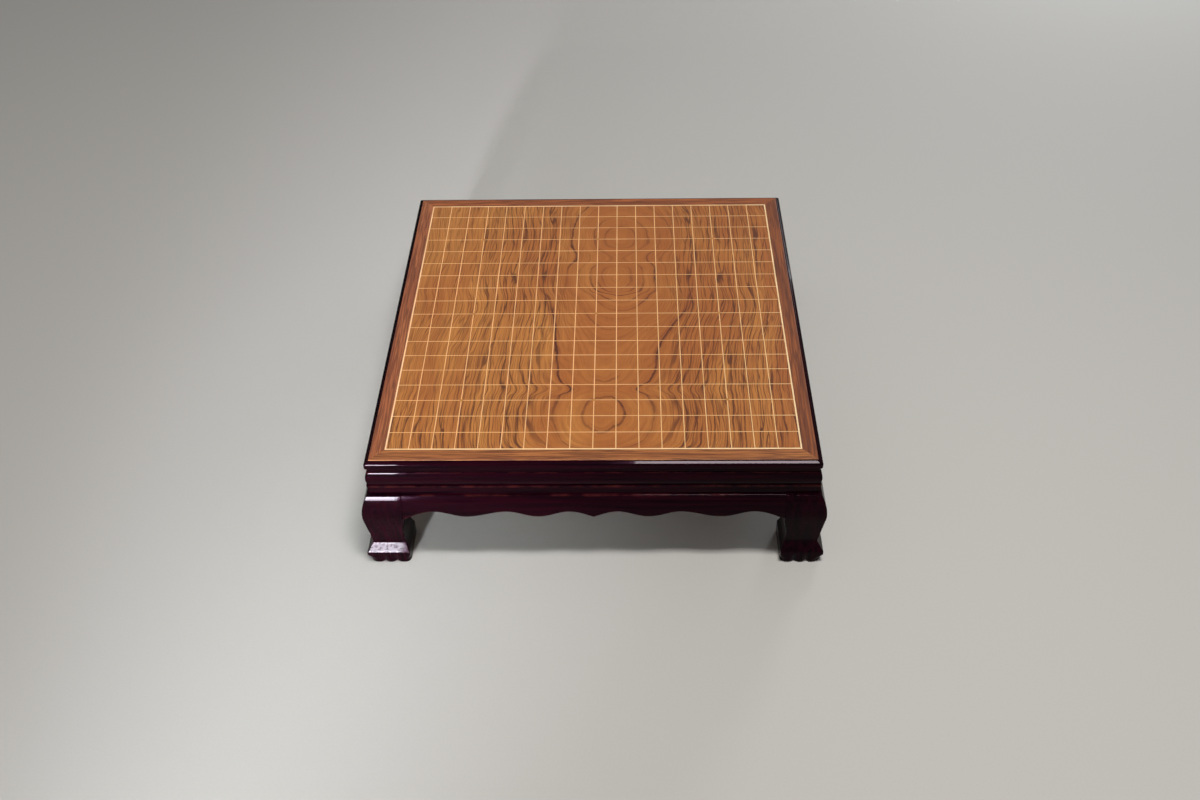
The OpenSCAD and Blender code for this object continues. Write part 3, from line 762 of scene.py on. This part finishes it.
def softbox(name, place, aim, width, height, watts, color, spread=180):
    """A rectangular lamp that looks at a point; its spread is in degrees."""
    lamp = bpy.data.lights.new(name, "AREA")
    lamp.shape = "RECTANGLE"
    lamp.size, lamp.size_y, lamp.energy = width, height, watts
    lamp.color, lamp.spread = color, math.radians(spread)
    box = bpy.data.objects.new(name, lamp)
    box.location = place
    box.rotation_euler = (Vector(aim) - Vector(place)).to_track_quat("-Z", "Y").to_euler()
    bpy.context.scene.collection.objects.link(box)


DAYLIGHT, LAMPLIGHT = (0.9, 0.95, 1.0), (1.0, 0.98, 0.95)
softbox("window_front_left", (-0.65, -2.10, 0.37), (-0.30, -0.26, 0.06), 0.17, 0.56, 2.0, DAYLIGHT,
        spread=26)
softbox("overhead_right", (0.31, -0.60, 2.1), (0.31, -0.30, 0), 0.50, 0.26, 30, LAMPLIGHT)
softbox("window_back_right", (1.27, 1.93, 0.93), (0.2, 0.1, 0.1), 0.50, 0.50, 12, DAYLIGHT)

LIGHT_FROM_WORLD, PALE_BACKGROUND = 0.25, 0.4


def studio_world():
    """Even light, and a paler background for the camera and for what mirrors or lets it through."""
    world = bpy.data.worlds.new("studio")
    world.use_nodes = True
    tree = world.node_tree
    background = tree.nodes["Background"]
    background.inputs["Color"].default_value = (*LAMPLIGHT, 1.0)
    ray = tree.nodes.new("ShaderNodeLightPath").outputs
    seen = ray["Is Camera Ray"]
    for kind in ("Is Glossy Ray", "Is Transmission Ray"):
        either = tree.nodes.new("ShaderNodeMath")
        either.operation = "MAXIMUM"
        tree.links.new(seen, either.inputs[0])
        tree.links.new(ray[kind], either.inputs[1])
        seen = either.outputs[0]
    strength = tree.nodes.new("ShaderNodeMapRange")
    strength.inputs["To Min"].default_value = LIGHT_FROM_WORLD
    strength.inputs["To Max"].default_value = PALE_BACKGROUND
    tree.links.new(seen, strength.inputs["Value"])
    tree.links.new(strength.outputs[0], background.inputs["Strength"])
    return world


bpy.context.scene.world = studio_world()
bpy.context.scene.view_settings.view_transform = "Standard"

CAMERA_AT = (0.0359, -1.1704, 1.0839)
SENSOR_MM, LENS_MM = 36, 36.7
AZIMUTH, ELEVATION, ROLL = (math.radians(a) for a in (-1.64, 42.63, -1.30))
ahead = Vector((math.sin(AZIMUTH) * math.cos(ELEVATION),
                math.cos(AZIMUTH) * math.cos(ELEVATION), -math.sin(ELEVATION)))
right = ahead.cross(Vector((0, 0, 1))).normalized()
up = right.cross(ahead)
turn = Matrix((right, up, -ahead)).transposed() @ Matrix.Rotation(ROLL, 3, "Z")
lens = bpy.data.cameras.new("camera")
lens.sensor_width, lens.lens = SENSOR_MM, LENS_MM
camera = bpy.data.objects.new("camera", lens)
camera.matrix_world = Matrix.Translation(CAMERA_AT) @ turn.to_4x4()
bpy.context.scene.collection.objects.link(camera)
bpy.context.scene.camera = camera
